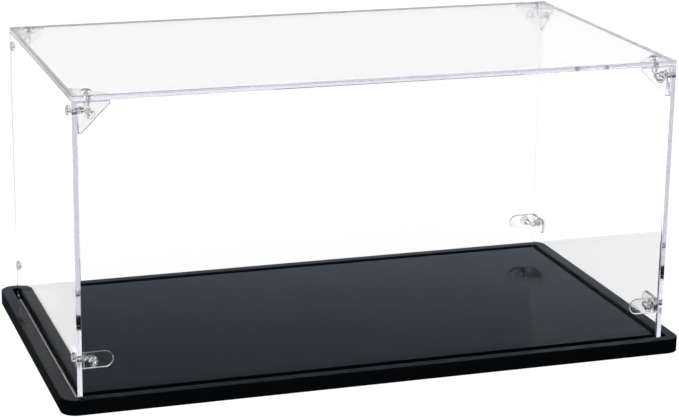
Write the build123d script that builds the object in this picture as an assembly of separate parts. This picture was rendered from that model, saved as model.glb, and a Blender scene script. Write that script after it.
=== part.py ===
from build123d import *
import os

# Display case for a model car: a clear box of five panels that lifts off a black base.
# X runs along the length, Y from front to back, Z up. The origin is the middle of the
# face that the case stands on. All sizes are in millimetres.

# Cover
cover_length = 320.0
cover_width = 172.1
cover_rise = 151.9
panel_thickness = 2.5
panel_edge_break = 0.15
panel_joint_gap = 0.08

# Base
base_rim_at_ends = 6.5
base_rim_at_sides = 5.75
base_height = 7.84
base_corner_radius = 8.0
base_edge_round = 0.5
groove_depth = 3.5
groove_outer_gap = 2.3
groove_inner_gap = 0.5
groove_corner_radius = 1.5
groove_edge_round = 0.35
groove_floor_thickness = 1.8
groove_wall = 1.8
base_wall = 2.0
deck_thickness = 2.4
rib_thickness = 1.5
rib_cells_x = 12
rib_cells_y = 6
panel_seat_gap = 0.1

# Brackets that hold the upper corners, one flange on each of three panels
corner_leg = 16.5
corner_tip = 2.3
corner_tip_round = 0.6
corner_rivet_offset = 6.3

# Brackets that hold the walls together near the base, one tab on each of two walls
side_tab_length = 16.2
side_tab_height = 8.6
side_tab_rise = 16.9
side_rivet_offset = 5.7

# Both kinds of bracket
flange_thickness = 1.3
bracket_inner_round = 0.6
bracket_edge_round = 0.55
bracket_seat_gap = 0.05

# Two-part push rivet: a split sleeve with a head, and a pin that spreads its legs
rivet_shank_diameter = 3.0
rivet_hole_clearance = 0.05
rivet_head_diameter = 5.2
rivet_head_height = 1.1
rivet_head_rim = 0.25
rivet_head_crown = 0.2
rivet_seat_gap = 0.05
rivet_leg_bulge = 0.45
rivet_leg_shoulder = 0.5
rivet_leg_length = 3.7
rivet_leg_end_diameter = 2.4
rivet_slot_width = 0.6
pin_diameter = 1.4
pin_clearance = 0.06
pin_head_diameter = 2.9
pin_head_height = 0.5
pin_head_crown = 0.2
pin_tip_chamfer = 0.35
pin_protrusion = 0.3

# Room for a cutting tool to overrun, and how closely an edge is picked by its place
cutter_overrun = 1.0
place_tolerance = 0.01

# Levels and half sizes that follow from the sizes above
groove_length = cover_length + 2 * groove_outer_gap
groove_width = cover_width + 2 * groove_outer_gap
base_length = groove_length + 2 * base_rim_at_ends
base_width = groove_width + 2 * base_rim_at_sides
cover_top = base_height + cover_rise
top_panel_underside = cover_top - panel_thickness
wall_top = top_panel_underside - panel_joint_gap
groove_floor = base_height - groove_depth
wall_bottom = groove_floor + panel_seat_gap
wall_height = wall_top - wall_bottom
inner_half_length = cover_length / 2 - panel_thickness
inner_half_width = cover_width / 2 - panel_thickness
bracket_x = inner_half_length - bracket_seat_gap
bracket_y = inner_half_width - bracket_seat_gap
corner_bracket_z = top_panel_underside - bracket_seat_gap
side_bracket_z = base_height + side_tab_rise
corner_rivet_x = bracket_x - corner_rivet_offset
corner_rivet_y = bracket_y - corner_rivet_offset
corner_rivet_z = corner_bracket_z - corner_rivet_offset
side_rivet_x = bracket_x - side_rivet_offset
side_rivet_y = bracket_y - side_rivet_offset
rivet_hole_radius = rivet_shank_diameter / 2 + rivet_hole_clearance
panel_drill_depth = panel_thickness + 2 * cutter_overrun
flange_drill_depth = 2 * (flange_thickness + cutter_overrun)
rivet_grip = panel_thickness + bracket_seat_gap + flange_thickness

CORNERS = {
    "front_left": (-1, -1),
    "front_right": (1, -1),
    "rear_left": (-1, 1),
    "rear_right": (1, 1),
}


def slab(length, width, bottom, top, corner_radius=0.0):
    """An upright slab centred on the Z axis, with rounded corners in plan if asked."""
    if corner_radius > 0:
        outline = RectangleRounded(length, width, corner_radius)
    else:
        outline = Rectangle(length, width)
    return Pos(0, 0, bottom) * extrude(outline, top - bottom)


def ring(outer_slab, inner_slab):
    """What is left of the outer slab round the inner one."""
    return outer_slab - inner_slab


def horizontal_edges_at(solid, height):
    """The edges of a solid that lie flat at one height."""
    return solid.edges().filter_by_position(Axis.Z, height - place_tolerance, height + place_tolerance)


def base():
    """The moulded base: a flat rim, a groove for the walls, and a ribbed underside."""
    island_length = 2 * (inner_half_length - groove_inner_gap)
    island_width = 2 * (inner_half_width - groove_inner_gap)

    body = slab(base_length, base_width, 0, base_height, base_corner_radius)
    body = fillet(horizontal_edges_at(body, base_height), base_edge_round)
    above = base_height + cutter_overrun
    groove = ring(
        slab(groove_length, groove_width, groove_floor, above, groove_corner_radius),
        slab(island_length, island_width, groove_floor, above, groove_corner_radius),
    )
    body -= groove
    inner_rims = [
        edge
        for edge in horizontal_edges_at(body, base_height)
        if abs(edge.center().X) <= groove_length / 2 + place_tolerance
        and abs(edge.center().Y) <= groove_width / 2 + place_tolerance
    ]
    body = fillet(inner_rims, groove_edge_round)

    rim_channel_top = base_height - deck_thickness
    rim_channel = ring(
        slab(
            base_length - 2 * base_wall,
            base_width - 2 * base_wall,
            0,
            rim_channel_top,
            base_corner_radius - base_wall,
        ),
        slab(
            groove_length + 2 * groove_wall,
            groove_width + 2 * groove_wall,
            0,
            rim_channel_top,
            groove_corner_radius + groove_wall,
        ),
    )
    body -= rim_channel

    groove_channel_top = groove_floor - groove_floor_thickness
    groove_channel = ring(
        slab(groove_length, groove_width, 0, groove_channel_top, groove_corner_radius),
        slab(island_length, island_width, 0, groove_channel_top, groove_corner_radius),
    )
    body -= groove_channel

    field_length = island_length - 2 * groove_wall + rib_thickness
    field_width = island_width - 2 * groove_wall + rib_thickness
    pitch_x = field_length / rib_cells_x
    pitch_y = field_width / rib_cells_y
    cell_height = base_height - deck_thickness
    cell = Box(
        pitch_x - rib_thickness,
        pitch_y - rib_thickness,
        cell_height,
        align=(Align.CENTER, Align.CENTER, Align.MIN),
    )
    cells = GridLocations(pitch_x, pitch_y, rib_cells_x, rib_cells_y)
    body -= [place * cell for place in cells]
    return body


def rivet_hole(x, y, z, direction):
    """A drill for one rivet hole, centred on a point in the middle of a panel."""
    drill = Cylinder(rivet_hole_radius, panel_drill_depth)
    return Plane(origin=(x, y, z), z_dir=direction) * drill


def break_edges(panel):
    """Take the sharpness off a cut panel, before its holes are drilled."""
    return chamfer(panel.edges(), panel_edge_break)


def top_panel():
    """The panel that overlies all four walls."""
    panel = break_edges(slab(cover_length, cover_width, top_panel_underside, cover_top))
    middle_z = cover_top - panel_thickness / 2
    for side_x, side_y in CORNERS.values():
        panel -= rivet_hole(side_x * corner_rivet_x, side_y * corner_rivet_y, middle_z, (0, 0, 1))
    return panel


def long_wall(side_y):
    """The front or the back panel, which fits between the end walls."""
    length = 2 * (inner_half_length - panel_joint_gap)
    middle_y = side_y * (cover_width - panel_thickness) / 2
    panel = Pos(0, middle_y, 0) * slab(length, panel_thickness, wall_bottom, wall_top)
    panel = break_edges(panel)
    for side_x in (-1, 1):
        for x, z in ((corner_rivet_x, corner_rivet_z), (side_rivet_x, side_bracket_z)):
            panel -= rivet_hole(side_x * x, middle_y, z, (0, 1, 0))
    return panel


def end_wall(side_x):
    """The left or the right panel, which runs the full depth of the cover."""
    middle_x = side_x * (cover_length - panel_thickness) / 2
    panel = Pos(middle_x, 0, 0) * slab(panel_thickness, cover_width, wall_bottom, wall_top)
    panel = break_edges(panel)
    for side_y in (-1, 1):
        for y, z in ((corner_rivet_y, corner_rivet_z), (side_rivet_y, side_bracket_z)):
            panel -= rivet_hole(middle_x, side_y * y, z, (1, 0, 0))
    return panel


def round_free_edges(plate, is_free):
    """Round the edges of a flat plate's upper face that no other plate joins."""
    upper = horizontal_edges_at(plate, flange_thickness)
    return fillet([edge for edge in upper if is_free(edge.center())], bracket_edge_round)


def corner_flange():
    """A triangle with a right angle at the origin and blunt tips, lying flat."""
    outline = Polygon(
        (0, 0),
        (corner_leg, 0),
        (corner_leg, corner_tip),
        (corner_tip, corner_leg),
        (0, corner_leg),
        align=None,
    )
    blunt = [corner for corner in outline.vertices() if corner.X + corner.Y > corner_leg + corner_tip / 2]
    outline = fillet(blunt, corner_tip_round)
    flange = extrude(outline, flange_thickness)
    flange = round_free_edges(flange, lambda middle: min(middle.X, middle.Y) > place_tolerance)
    hole = Cylinder(rivet_hole_radius, flange_drill_depth)
    return flange - Pos(corner_rivet_offset, corner_rivet_offset, 0) * hole


def meets_inside(edge):
    """Whether an edge of a bracket is one where two flanges meet on the inside."""
    at_thickness = [abs(value - flange_thickness) < place_tolerance for value in edge.center()]
    return sum(at_thickness) >= 2


def corner_bracket_shape():
    """Three flanges that meet at the origin and reach along +X, +Y and +Z."""
    flange = corner_flange()
    on_floor = flange
    on_back = Plane(origin=(0, 0, 0), x_dir=(1, 0, 0), z_dir=(0, -1, 0)) * flange
    on_back = mirror(on_back, Plane.XZ)
    on_side = Plane(origin=(0, 0, 0), x_dir=(0, 1, 0), z_dir=(1, 0, 0)) * flange
    bracket = on_floor + on_back + on_side
    inside = [edge for edge in bracket.edges() if meets_inside(edge)]
    return fillet(inside, bracket_inner_round)


def side_tab():
    """A flat tab with a round end, whose root is at the origin, reaching along +X."""
    end_radius = side_tab_height / 2
    straight = side_tab_length - end_radius
    outline = Pos(straight / 2, 0) * Rectangle(straight, side_tab_height)
    outline += Pos(straight, 0) * Circle(end_radius)
    tab = extrude(outline, flange_thickness)
    tab = round_free_edges(tab, lambda middle: middle.X > place_tolerance)
    hole = Cylinder(rivet_hole_radius, flange_drill_depth)
    return tab - Pos(side_rivet_offset, 0, 0) * hole


def side_bracket_shape():
    """Two tabs that meet at the origin and reach along +X and +Y."""
    tab = side_tab()
    on_back = Plane(origin=(0, 0, 0), x_dir=(1, 0, 0), z_dir=(0, 1, 0)) * tab
    on_side = Plane(origin=(0, 0, 0), x_dir=(0, 1, 0), z_dir=(1, 0, 0)) * tab
    bracket = on_back + on_side
    inside = [edge for edge in bracket.edges() if meets_inside(edge)]
    return fillet(inside, bracket_inner_round)


def into_corner(shape, side_x, side_y, height, hang=False):
    """Turn a shape drawn in the +X +Y +Z octant into one corner of the cover."""
    if hang:
        shape = mirror(shape, Plane.XY)
    if side_x > 0:
        shape = mirror(shape, Plane.YZ)
    if side_y > 0:
        shape = mirror(shape, Plane.XZ)
    return Pos(side_x * bracket_x, side_y * bracket_y, height) * shape


def rivet_sleeve():
    """The split sleeve: head above the origin, shank and legs below it."""
    shank = rivet_shank_diameter / 2
    head = rivet_head_diameter / 2
    bore = pin_diameter / 2 + pin_clearance
    recess = pin_head_diameter / 2 + pin_clearance
    recess_floor = rivet_head_height - pin_head_height
    leg_top = -rivet_grip - rivet_seat_gap
    shoulder = leg_top - rivet_leg_shoulder
    leg_end = leg_top - rivet_leg_length
    head_rim = Polyline(
        (recess, rivet_head_height),
        (recess, recess_floor),
        (bore, recess_floor),
        (bore, leg_end),
        (rivet_leg_end_diameter / 2, leg_end),
        (shank + rivet_leg_bulge, shoulder),
        (shank, leg_top),
        (shank, 0),
        (head, 0),
        (head, rivet_head_rim),
    )
    crown = SagittaArc((head, rivet_head_rim), (recess, rivet_head_height), -rivet_head_crown)
    profile = Plane.XZ * make_face(head_rim + crown)
    sleeve = revolve(profile, Axis.Z)
    slot_height = rivet_leg_length
    slot = Pos(0, 0, leg_end + slot_height / 2) * Box(
        4 * rivet_shank_diameter, rivet_slot_width, slot_height
    )
    cross_slot = Rot(0, 0, 90) * slot
    return sleeve - slot - cross_slot


def rivet_pin():
    """The pin, whose head lies in the sleeve's recess."""
    radius = pin_diameter / 2
    head = pin_head_diameter / 2
    head_floor = rivet_head_height - pin_head_height + pin_clearance
    head_top = rivet_head_height
    tip = -rivet_grip - rivet_seat_gap - rivet_leg_length - pin_protrusion
    outline = Polyline(
        (0, head_top + pin_head_crown),
        (0, tip),
        (radius - pin_tip_chamfer, tip),
        (radius, tip + pin_tip_chamfer),
        (radius, head_floor),
        (head, head_floor),
        (head, head_top),
    )
    crown = TangentArc((0, head_top + pin_head_crown), (head, head_top), tangent=(1, 0))
    return revolve(Plane.XZ * make_face(outline + crown), Axis.Z)


def rivet_places(side_x, side_y, upper):
    """Where one bracket's rivets sit: a point on the panel's face, and the way out."""
    face_x = side_x * (cover_length / 2 + rivet_seat_gap)
    face_y = side_y * (cover_width / 2 + rivet_seat_gap)
    out_x = (side_x, 0, 0)
    out_y = (0, side_y, 0)
    if upper:
        x = side_x * corner_rivet_x
        y = side_y * corner_rivet_y
        z = corner_rivet_z
        top = ((x, y, cover_top + rivet_seat_gap), (0, 0, 1))
        return [top, ((x, face_y, z), out_y), ((face_x, y, z), out_x)]
    x = side_x * side_rivet_x
    y = side_y * side_rivet_y
    z = side_bracket_z
    return [((x, face_y, z), out_y), ((face_x, y, z), out_x)]


def set_of(piece, places):
    """Copies of one rivet piece as a group of separate solids."""
    copies = [Plane(origin=point, z_dir=way) * piece for point, way in places]
    return Compound(children=copies)


def all_nodes():
    """Every piece of the case by name."""
    nodes = {
        "base": base(),
        "top_panel": top_panel(),
        "front_panel": long_wall(-1),
        "back_panel": long_wall(1),
        "left_panel": end_wall(-1),
        "right_panel": end_wall(1),
    }
    corner_shape = corner_bracket_shape()
    side_shape = side_bracket_shape()
    sleeve = rivet_sleeve()
    pin = rivet_pin()
    for corner, (side_x, side_y) in CORNERS.items():
        nodes[f"corner_bracket_{corner}"] = into_corner(
            corner_shape, side_x, side_y, corner_bracket_z, hang=True
        )
        nodes[f"side_bracket_{corner}"] = into_corner(side_shape, side_x, side_y, side_bracket_z)
        for level, upper in (("upper", True), ("lower", False)):
            places = rivet_places(side_x, side_y, upper)
            nodes[f"{level}_rivet_sleeves_{corner}"] = set_of(sleeve, places)
            nodes[f"{level}_rivet_pins_{corner}"] = set_of(pin, places)
    return nodes


def main():
    os.makedirs("parts", exist_ok=True)
    for name, shape in all_nodes().items():
        export_step(shape, f"parts/{name}.step")


main()
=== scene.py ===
import math

import bpy
from mathutils import Matrix, Vector

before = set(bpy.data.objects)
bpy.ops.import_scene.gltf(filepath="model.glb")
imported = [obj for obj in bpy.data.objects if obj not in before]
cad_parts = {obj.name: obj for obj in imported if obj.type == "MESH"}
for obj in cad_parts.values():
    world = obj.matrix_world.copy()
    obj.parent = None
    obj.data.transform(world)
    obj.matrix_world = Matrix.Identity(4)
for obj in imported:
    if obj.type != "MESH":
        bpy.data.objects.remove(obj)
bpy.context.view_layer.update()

# Camera: where the photograph was taken from, in metres and radians.
CAMERA_PLACE = (-0.34937, -1.05714, 0.39096)
CAMERA_YAW = 0.3228
CAMERA_PITCH = -0.2826
CAMERA_ROLL = 0.0145
CAMERA_LENS_MM = 112.17
SENSOR_WIDTH_MM = 36.0

# Studio. Each band of a sky is the sine of its height above the horizon and its colour there,
# at half the strength it is shown with.
FLOOR_SIZE = 12.0
FLOOR_DROP = 0.0002
FLOOR_DIFFUSE = (0.14, 0.14, 0.14, 1.0)
FLOOR_GLOW = 0.93
FILL_STRENGTH = 0.55
THROUGH_GAIN = 0.12
MIRRORED_GAIN = 0.4
SKY_STRENGTH = 2.0
MIRROR_SKY = (
    (0.00, (0.40, 0.40, 0.40)),
    (0.25, (0.36, 0.36, 0.37)),
    (0.29, (0.70, 0.84, 1.00)),
    (0.34, (0.38, 0.48, 0.56)),
    (0.65, (0.03, 0.035, 0.04)),
)
EDGE_SKY = (
    (0.000, (0.68, 0.68, 0.68)),
    (0.250, (1.00, 1.00, 1.00)),
    (0.400, (1.00, 1.00, 1.00)),
    (0.650, (0.05, 0.05, 0.055)),
)
CAMERA_SIDE_START = 0.10
CAMERA_SIDE_END = -0.25
CAMERA_SIDE_COLOR = (0.05, 0.06, 0.08, 1.0)
FRONT_FLOOR_EDGE = -0.10
BRIGHT_FLOOR_EDGE = -0.03
FRONT_DARKNESS = 0.97
LIGHT_BOUNCES = 96
LAMP_SIZE = 1.4
LAMP_TARGET = (0.0, 0.0, 0.08)
KEY_LAMP_PLACE = (-0.9, -0.7, 1.7)
KEY_LAMP_POWER = 22.0
FILL_LAMP_PLACE = (1.2, -0.4, 1.3)
FILL_LAMP_POWER = 9.0
PURE_WHITE = (1.0, 1.0, 1.0, 1.0)
PURE_BLACK = (0.0, 0.0, 0.0, 1.0)

# Clear plastic
ACRYLIC_IOR = 1.49
BRACKET_IOR = 1.52
RIVET_IOR = 1.49
ACRYLIC_TINT = (0.785, 0.78, 0.81, 1.0)
ACRYLIC_DENSITY = 16.0
BRACKET_TINT = (0.60, 0.60, 0.63, 1.0)
BRACKET_DENSITY = 75.0
RIVET_DENSITY = 8.0
CUT_EDGE_TONE = (0.88, 0.87, 0.89, 1.0)
# Painted shade: a near-black colour put into the rivets where their surface turns away from the
# view, drawn as dark outlines.
RIM_SHADE = (0.02, 0.02, 0.03, 1.0)
RIM_SHADE_RANGE = (0.35, 0.7)
LAMP_PASS = (0.93, 0.93, 0.94, 1.0)
CUT_MARK_SCALE = 900.0
CUT_ROUGHNESS = (0.03, 0.1)
BRACKET_GRAIN_SCALE = 1100.0
BRACKET_RELIEF = 0.00004
BRACKET_HAZE = 0.03
RIVET_GRAIN_SCALE = 700.0
RIVET_RELIEF = 0.000002
RIVET_HAZE = 0.008

# Black plastic
BASE_IOR = 1.08
BASE_DARK = (0.0012, 0.0015, 0.0019, 1.0)
BASE_LIGHT = (0.0020, 0.0024, 0.0030, 1.0)
BASE_MOTTLE_SCALE = 60.0
BASE_GRAIN_SCALE = 2600.0
BASE_GRAIN_DETAIL = 2.0
BASE_TOP_ROUGHNESS = (0.035, 0.055)
BASE_SIDE_ROUGHNESS = 0.75
BASE_SIDE_SPECULAR = 0.15
BASE_TOP_SPECULAR = 0.5


def new_material(name):
    """A material with an empty node tree and its output."""
    material = bpy.data.materials.new(name)
    material.use_nodes = True
    tree = material.node_tree
    tree.nodes.clear()
    output = tree.nodes.new("ShaderNodeOutputMaterial")
    return material, tree, output


def math_node(tree, operation, first, second):
    """A math node whose two inputs are sockets or plain numbers."""
    node = tree.nodes.new("ShaderNodeMath")
    node.operation = operation
    for index, value in enumerate((first, second)):
        if isinstance(value, (int, float)):
            node.inputs[index].default_value = value
        else:
            tree.links.new(value, node.inputs[index])
    return node.outputs[0]


def remap(tree, value, low, high, to_low, to_high):
    """A value stretched from one range to another, smoothly and clamped."""
    node = tree.nodes.new("ShaderNodeMapRange")
    node.interpolation_type = "SMOOTHSTEP"
    tree.links.new(value, node.inputs["Value"])
    node.inputs["From Min"].default_value = low
    node.inputs["From Max"].default_value = high
    node.inputs["To Min"].default_value = to_low
    node.inputs["To Max"].default_value = to_high
    return node.outputs["Result"]


def object_noise(tree, scale, detail=3.0):
    """Noise fixed to the object, from 0 to 1, with a scale per metre."""
    coordinates = tree.nodes.new("ShaderNodeTexCoord")
    noise = tree.nodes.new("ShaderNodeTexNoise")
    noise.inputs["Scale"].default_value = scale
    noise.inputs["Detail"].default_value = detail
    tree.links.new(coordinates.outputs["Object"], noise.inputs["Vector"])
    return noise.outputs["Fac"]


def facing(tree, axis):
    """How squarely a face looks along an axis, from 0 to 1."""
    geometry = tree.nodes.new("ShaderNodeNewGeometry")
    split = tree.nodes.new("ShaderNodeSeparateXYZ")
    tree.links.new(geometry.outputs["True Normal"], split.inputs["Vector"])
    return math_node(tree, "ABSOLUTE", split.outputs[axis], 0.0)


def bump(tree, height, strength, distance):
    """A bump of a real height from a height socket."""
    node = tree.nodes.new("ShaderNodeBump")
    node.inputs["Strength"].default_value = strength
    node.inputs["Distance"].default_value = distance
    tree.links.new(height, node.inputs["Height"])
    return node.outputs["Normal"]


def reflected(tree, times=1):
    """1 for rays that have been mirrored so many times or more on their way, and 0 for others."""
    path = tree.nodes.new("ShaderNodeLightPath")
    return math_node(tree, "GREATER_THAN", path.outputs["Glossy Depth"], times - 0.5)


def white_level(tree):
    """How bright the white surroundings are: plain white to the camera, and overexposed when
    they are seen through the case or mirrored in it."""
    path = tree.nodes.new("ShaderNodeLightPath")
    through = math_node(tree, "MULTIPLY", path.outputs["Is Transmission Ray"], THROUGH_GAIN)
    mirrored = math_node(tree, "MULTIPLY", reflected(tree), MIRRORED_GAIN)
    return math_node(tree, "ADD", math_node(tree, "MAXIMUM", through, mirrored), 1.0)


def clear_plastic(name, ior, tint, density, roughness, normal):
    """Clear plastic that lets lamplight through. roughness is a function that gives a socket in
    the material's tree, and normal is another one or None."""
    material, tree, output = new_material(name)
    shader = tree.nodes.new("ShaderNodeBsdfPrincipled")
    shader.inputs["Base Color"].default_value = PURE_WHITE
    shader.inputs["IOR"].default_value = ior
    shader.inputs["Transmission Weight"].default_value = 1.0
    tree.links.new(roughness(tree), shader.inputs["Roughness"])
    if normal is not None:
        tree.links.new(normal(tree), shader.inputs["Normal"])
    lamp_pass = tree.nodes.new("ShaderNodeBsdfTransparent")
    lamp_pass.inputs["Color"].default_value = LAMP_PASS
    path = tree.nodes.new("ShaderNodeLightPath")
    soft_rays = math_node(
        tree, "MAXIMUM", path.outputs["Is Shadow Ray"], path.outputs["Is Diffuse Ray"]
    )
    mix = tree.nodes.new("ShaderNodeMixShader")
    tree.links.new(soft_rays, mix.inputs["Fac"])
    tree.links.new(shader.outputs[0], mix.inputs[1])
    tree.links.new(lamp_pass.outputs[0], mix.inputs[2])
    tree.links.new(mix.outputs[0], output.inputs["Surface"])
    depth = tree.nodes.new("ShaderNodeVolumeAbsorption")
    depth.inputs["Color"].default_value = tint
    depth.inputs["Density"].default_value = density
    tree.links.new(depth.outputs[0], output.inputs["Volume"])
    return material


def tone_by(tree, share, tone):
    """Tones clear plastic where a share from 0 to 1 says so."""
    blend = tree.nodes.new("ShaderNodeMix")
    blend.data_type = "RGBA"
    blend.inputs["A"].default_value = PURE_WHITE
    blend.inputs["B"].default_value = tone
    tree.links.new(share, blend.inputs["Factor"])
    tree.links.new(blend.outputs["Result"], tree.nodes["Principled BSDF"].inputs["Base Color"])


def cut_edge(tree, axis):
    """1 on the cut edges of a sheet whose thickness runs along an axis, and 0 on its faces."""
    return remap(tree, facing(tree, axis), 0.2, 0.8, 1.0, 0.0)


def acrylic_sheet(name, axis):
    """Cut acrylic sheet whose thickness runs along one axis: polished faces, and slightly
    toned edges with the faint marks of the cutter."""

    def roughness(tree):
        marks = remap(tree, object_noise(tree, CUT_MARK_SCALE), 0.3, 0.7, *CUT_ROUGHNESS)
        return math_node(tree, "MULTIPLY", cut_edge(tree, axis), marks)

    sheet = clear_plastic(name, ACRYLIC_IOR, ACRYLIC_TINT, ACRYLIC_DENSITY, roughness, None)
    tone_by(sheet.node_tree, cut_edge(sheet.node_tree, axis), CUT_EDGE_TONE)
    return sheet


def paint_rim_shade(material):
    """Paints shade into clear plastic's colour where its surface turns away from the view, drawn
    as dark outlines on thin round mouldings.
    """
    tree = material.node_tree
    weight = tree.nodes.new("ShaderNodeLayerWeight")
    rim = remap(tree, weight.outputs["Facing"], *RIM_SHADE_RANGE, 0.0, 1.0)
    tone_by(tree, rim, RIM_SHADE)


def moulded_clear(name, ior, density, scale, relief, haze):
    """Clear moulded plastic with the slight haze and the fine relief of a small moulding."""

    def roughness(tree):
        return remap(tree, object_noise(tree, scale), 0.35, 0.65, 0.0, haze)

    def normal(tree):
        return bump(tree, object_noise(tree, scale), 1.0, relief)

    return clear_plastic(name, ior, BRACKET_TINT, density, roughness, normal)


def black_base():
    """Black moulded plastic: a satin top with a fine grain, and sides that are matter and
    shine less."""
    material, tree, output = new_material("black_base_plastic")
    shader = tree.nodes.new("ShaderNodeBsdfPrincipled")
    shader.inputs["IOR"].default_value = BASE_IOR
    tone = tree.nodes.new("ShaderNodeMix")
    tone.data_type = "RGBA"
    tone.inputs["A"].default_value = BASE_DARK
    tone.inputs["B"].default_value = BASE_LIGHT
    tree.links.new(object_noise(tree, BASE_MOTTLE_SCALE), tone.inputs["Factor"])
    tree.links.new(tone.outputs["Result"], shader.inputs["Base Color"])
    flat = facing(tree, "Z")
    grain = object_noise(tree, BASE_GRAIN_SCALE, BASE_GRAIN_DETAIL)
    satin = remap(tree, grain, 0.3, 0.7, *BASE_TOP_ROUGHNESS)
    side = remap(tree, flat, 0.1, 0.8, BASE_SIDE_ROUGHNESS, 0.0)
    rough = math_node(tree, "MAXIMUM", satin, side)
    tree.links.new(rough, shader.inputs["Roughness"])
    shine = remap(tree, flat, 0.6, 0.99, BASE_SIDE_SPECULAR, BASE_TOP_SPECULAR)
    tree.links.new(shine, shader.inputs["Specular IOR Level"])
    tree.links.new(shader.outputs[0], output.inputs["Surface"])
    return material


def finish_nodes():
    """Gives every piece of the case its material."""
    sheets = {
        "top_panel": acrylic_sheet("acrylic_top", "Z"),
        "front_panel": acrylic_sheet("acrylic_long_wall", "Y"),
        "left_panel": acrylic_sheet("acrylic_end_wall", "X"),
    }
    sheets["back_panel"] = sheets["front_panel"]
    sheets["right_panel"] = sheets["left_panel"]
    bracket = moulded_clear(
        "clear_bracket_plastic",
        BRACKET_IOR,
        BRACKET_DENSITY,
        BRACKET_GRAIN_SCALE,
        BRACKET_RELIEF,
        BRACKET_HAZE,
    )
    rivet = moulded_clear(
        "clear_rivet_plastic",
        RIVET_IOR,
        RIVET_DENSITY,
        RIVET_GRAIN_SCALE,
        RIVET_RELIEF,
        RIVET_HAZE,
    )
    # The rivets get painted shade in their colour at their turned-away rims.
    paint_rim_shade(rivet)
    base = black_base()
    for name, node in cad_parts.items():
        if name in sheets:
            material = sheets[name]
        elif "bracket" in name:
            material = bracket
        elif "rivet" in name:
            material = rivet
        else:
            material = base
        node.data.materials.clear()
        node.data.materials.append(material)


def floor():
    """A plain white floor that keeps the case's shadow. Mirrored rays see it dark at the front,
    so that the case's front faces mirror a dark room."""
    half = FLOOR_SIZE / 2
    mesh = bpy.data.meshes.new("floor")
    corners = [(-half, -half, 0), (half, -half, 0), (half, half, 0), (-half, half, 0)]
    mesh.from_pydata(corners, [], [(0, 1, 2, 3)])
    ground = bpy.data.objects.new("floor", mesh)
    ground.location.z = -FLOOR_DROP
    bpy.context.scene.collection.objects.link(ground)
    material, tree, output = new_material("floor_white")
    matt = tree.nodes.new("ShaderNodeBsdfDiffuse")
    matt.inputs["Color"].default_value = FLOOR_DIFFUSE
    place = tree.nodes.new("ShaderNodeTexCoord")
    split = tree.nodes.new("ShaderNodeSeparateXYZ")
    tree.links.new(place.outputs["Object"], split.inputs["Vector"])
    front = remap(
        tree, split.outputs["Y"], FRONT_FLOOR_EDGE, BRIGHT_FLOOR_EDGE, FRONT_DARKNESS, 0.0
    )
    glow = tree.nodes.new("ShaderNodeEmission")
    level = math_node(tree, "MULTIPLY", white_level(tree), FLOOR_GLOW)
    tree.links.new(level, glow.inputs["Strength"])
    bright = tree.nodes.new("ShaderNodeAddShader")
    tree.links.new(matt.outputs[0], bright.inputs[0])
    tree.links.new(glow.outputs[0], bright.inputs[1])
    dark = tree.nodes.new("ShaderNodeBsdfDiffuse")
    dark.inputs["Color"].default_value = PURE_BLACK
    shown = either(tree, math_node(tree, "MULTIPLY", reflected(tree), front), bright, dark)
    tree.links.new(shown.outputs[0], output.inputs["Surface"])
    mesh.materials.append(material)


def background(tree, color, strength=1.0):
    """A plain background shader."""
    node = tree.nodes.new("ShaderNodeBackground")
    node.inputs["Color"].default_value = color
    node.inputs["Strength"].default_value = strength
    return node


def either(tree, share, first, second):
    """A mix of two shaders, with the share of the second one."""
    node = tree.nodes.new("ShaderNodeMixShader")
    tree.links.new(share, node.inputs["Fac"])
    tree.links.new(first.outputs[0], node.inputs[1])
    tree.links.new(second.outputs[0], node.inputs[2])
    return node


def sky_bands(tree, height, bands):
    """A sky whose colour follows bands of height above the horizon."""
    ramp = tree.nodes.new("ShaderNodeValToRGB")
    stops = ramp.color_ramp.elements
    stops[0].position = bands[0][0]
    stops[0].color = (*bands[0][1], 1.0)
    stops[1].position = bands[-1][0]
    stops[1].color = (*bands[-1][1], 1.0)
    for position, color in bands[1:-1]:
        stops.new(position).color = (*color, 1.0)
    tree.links.new(height, ramp.inputs["Fac"])
    sky = background(tree, PURE_WHITE, SKY_STRENGTH)
    tree.links.new(ramp.outputs["Color"], sky.inputs["Color"])
    return sky


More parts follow.
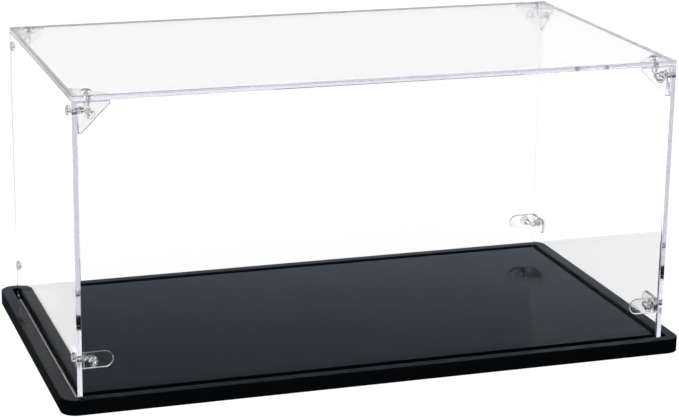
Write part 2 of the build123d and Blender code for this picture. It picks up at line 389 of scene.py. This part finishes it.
def backdrop():
    """White to the camera, and a plain soft fill to matt surfaces. Rays that come by way of the
    case see a sky in bands that darkens overhead: a bluish one if they were mirrored once, and
    otherwise a brighter neutral one. Mirrored rays towards the camera's side see a dark room."""
    world = bpy.data.worlds.new("studio")
    bpy.context.scene.world = world
    world.use_nodes = True
    tree = world.node_tree
    tree.nodes.clear()
    output = tree.nodes.new("ShaderNodeOutputWorld")
    direction = tree.nodes.new("ShaderNodeTexCoord")
    split = tree.nodes.new("ShaderNodeSeparateXYZ")
    tree.links.new(direction.outputs["Generated"], split.inputs["Vector"])
    mirror_sky = sky_bands(tree, split.outputs["Z"], MIRROR_SKY)
    edge_sky = sky_bands(tree, split.outputs["Z"], EDGE_SKY)
    mirrored_once = math_node(
        tree, "SUBTRACT", reflected(tree, times=1), reflected(tree, times=2)
    )
    sky = either(tree, mirrored_once, edge_sky, mirror_sky)
    camera_side = remap(tree, split.outputs["Y"], CAMERA_SIDE_END, CAMERA_SIDE_START, 1.0, 0.0)
    mirrored_front = math_node(tree, "MULTIPLY", reflected(tree), camera_side)
    in_glass = either(tree, mirrored_front, sky, background(tree, CAMERA_SIDE_COLOR))
    white = background(tree, PURE_WHITE)
    fill = background(tree, PURE_WHITE, FILL_STRENGTH)
    path = tree.nodes.new("ShaderNodeLightPath")
    direct = either(tree, path.outputs["Is Camera Ray"], fill, white)
    case_rays = math_node(
        tree, "MAXIMUM", path.outputs["Is Glossy Ray"], path.outputs["Is Transmission Ray"]
    )
    seen = either(tree, case_rays, direct, in_glass)
    tree.links.new(seen.outputs[0], output.inputs["Surface"])


def lamp(name, place, power):
    """A soft square lamp that looks at the case."""
    light = bpy.data.lights.new(name, "AREA")
    light.shape = "SQUARE"
    light.size = LAMP_SIZE
    light.energy = power
    holder = bpy.data.objects.new(name, light)
    bpy.context.scene.collection.objects.link(holder)
    holder.location = place
    away = Vector(place) - Vector(LAMP_TARGET)
    holder.rotation_mode = "QUATERNION"
    holder.rotation_quaternion = away.to_track_quat("Z", "Y")


def camera():
    """The photograph's camera."""
    data = bpy.data.cameras.new("camera")
    data.lens = CAMERA_LENS_MM
    data.sensor_width = SENSOR_WIDTH_MM
    data.sensor_fit = "HORIZONTAL"
    holder = bpy.data.objects.new("camera", data)
    bpy.context.scene.collection.objects.link(holder)
    turn = (
        Matrix.Rotation(-CAMERA_YAW, 4, "Z")
        @ Matrix.Rotation(math.pi / 2 + CAMERA_PITCH, 4, "X")
        @ Matrix.Rotation(CAMERA_ROLL, 4, "Z")
    )
    holder.matrix_world = Matrix.Translation(CAMERA_PLACE) @ turn
    bpy.context.scene.camera = holder


finish_nodes()
floor()
backdrop()
lamp("key_lamp", KEY_LAMP_PLACE, KEY_LAMP_POWER)
lamp("fill_lamp", FILL_LAMP_PLACE, FILL_LAMP_POWER)
camera()
bpy.context.scene.view_settings.view_transform = "Standard"
bpy.context.scene.cycles.max_bounces = LIGHT_BOUNCES
bpy.context.scene.cycles.glossy_bounces = LIGHT_BOUNCES
bpy.context.scene.cycles.transmission_bounces = LIGHT_BOUNCES
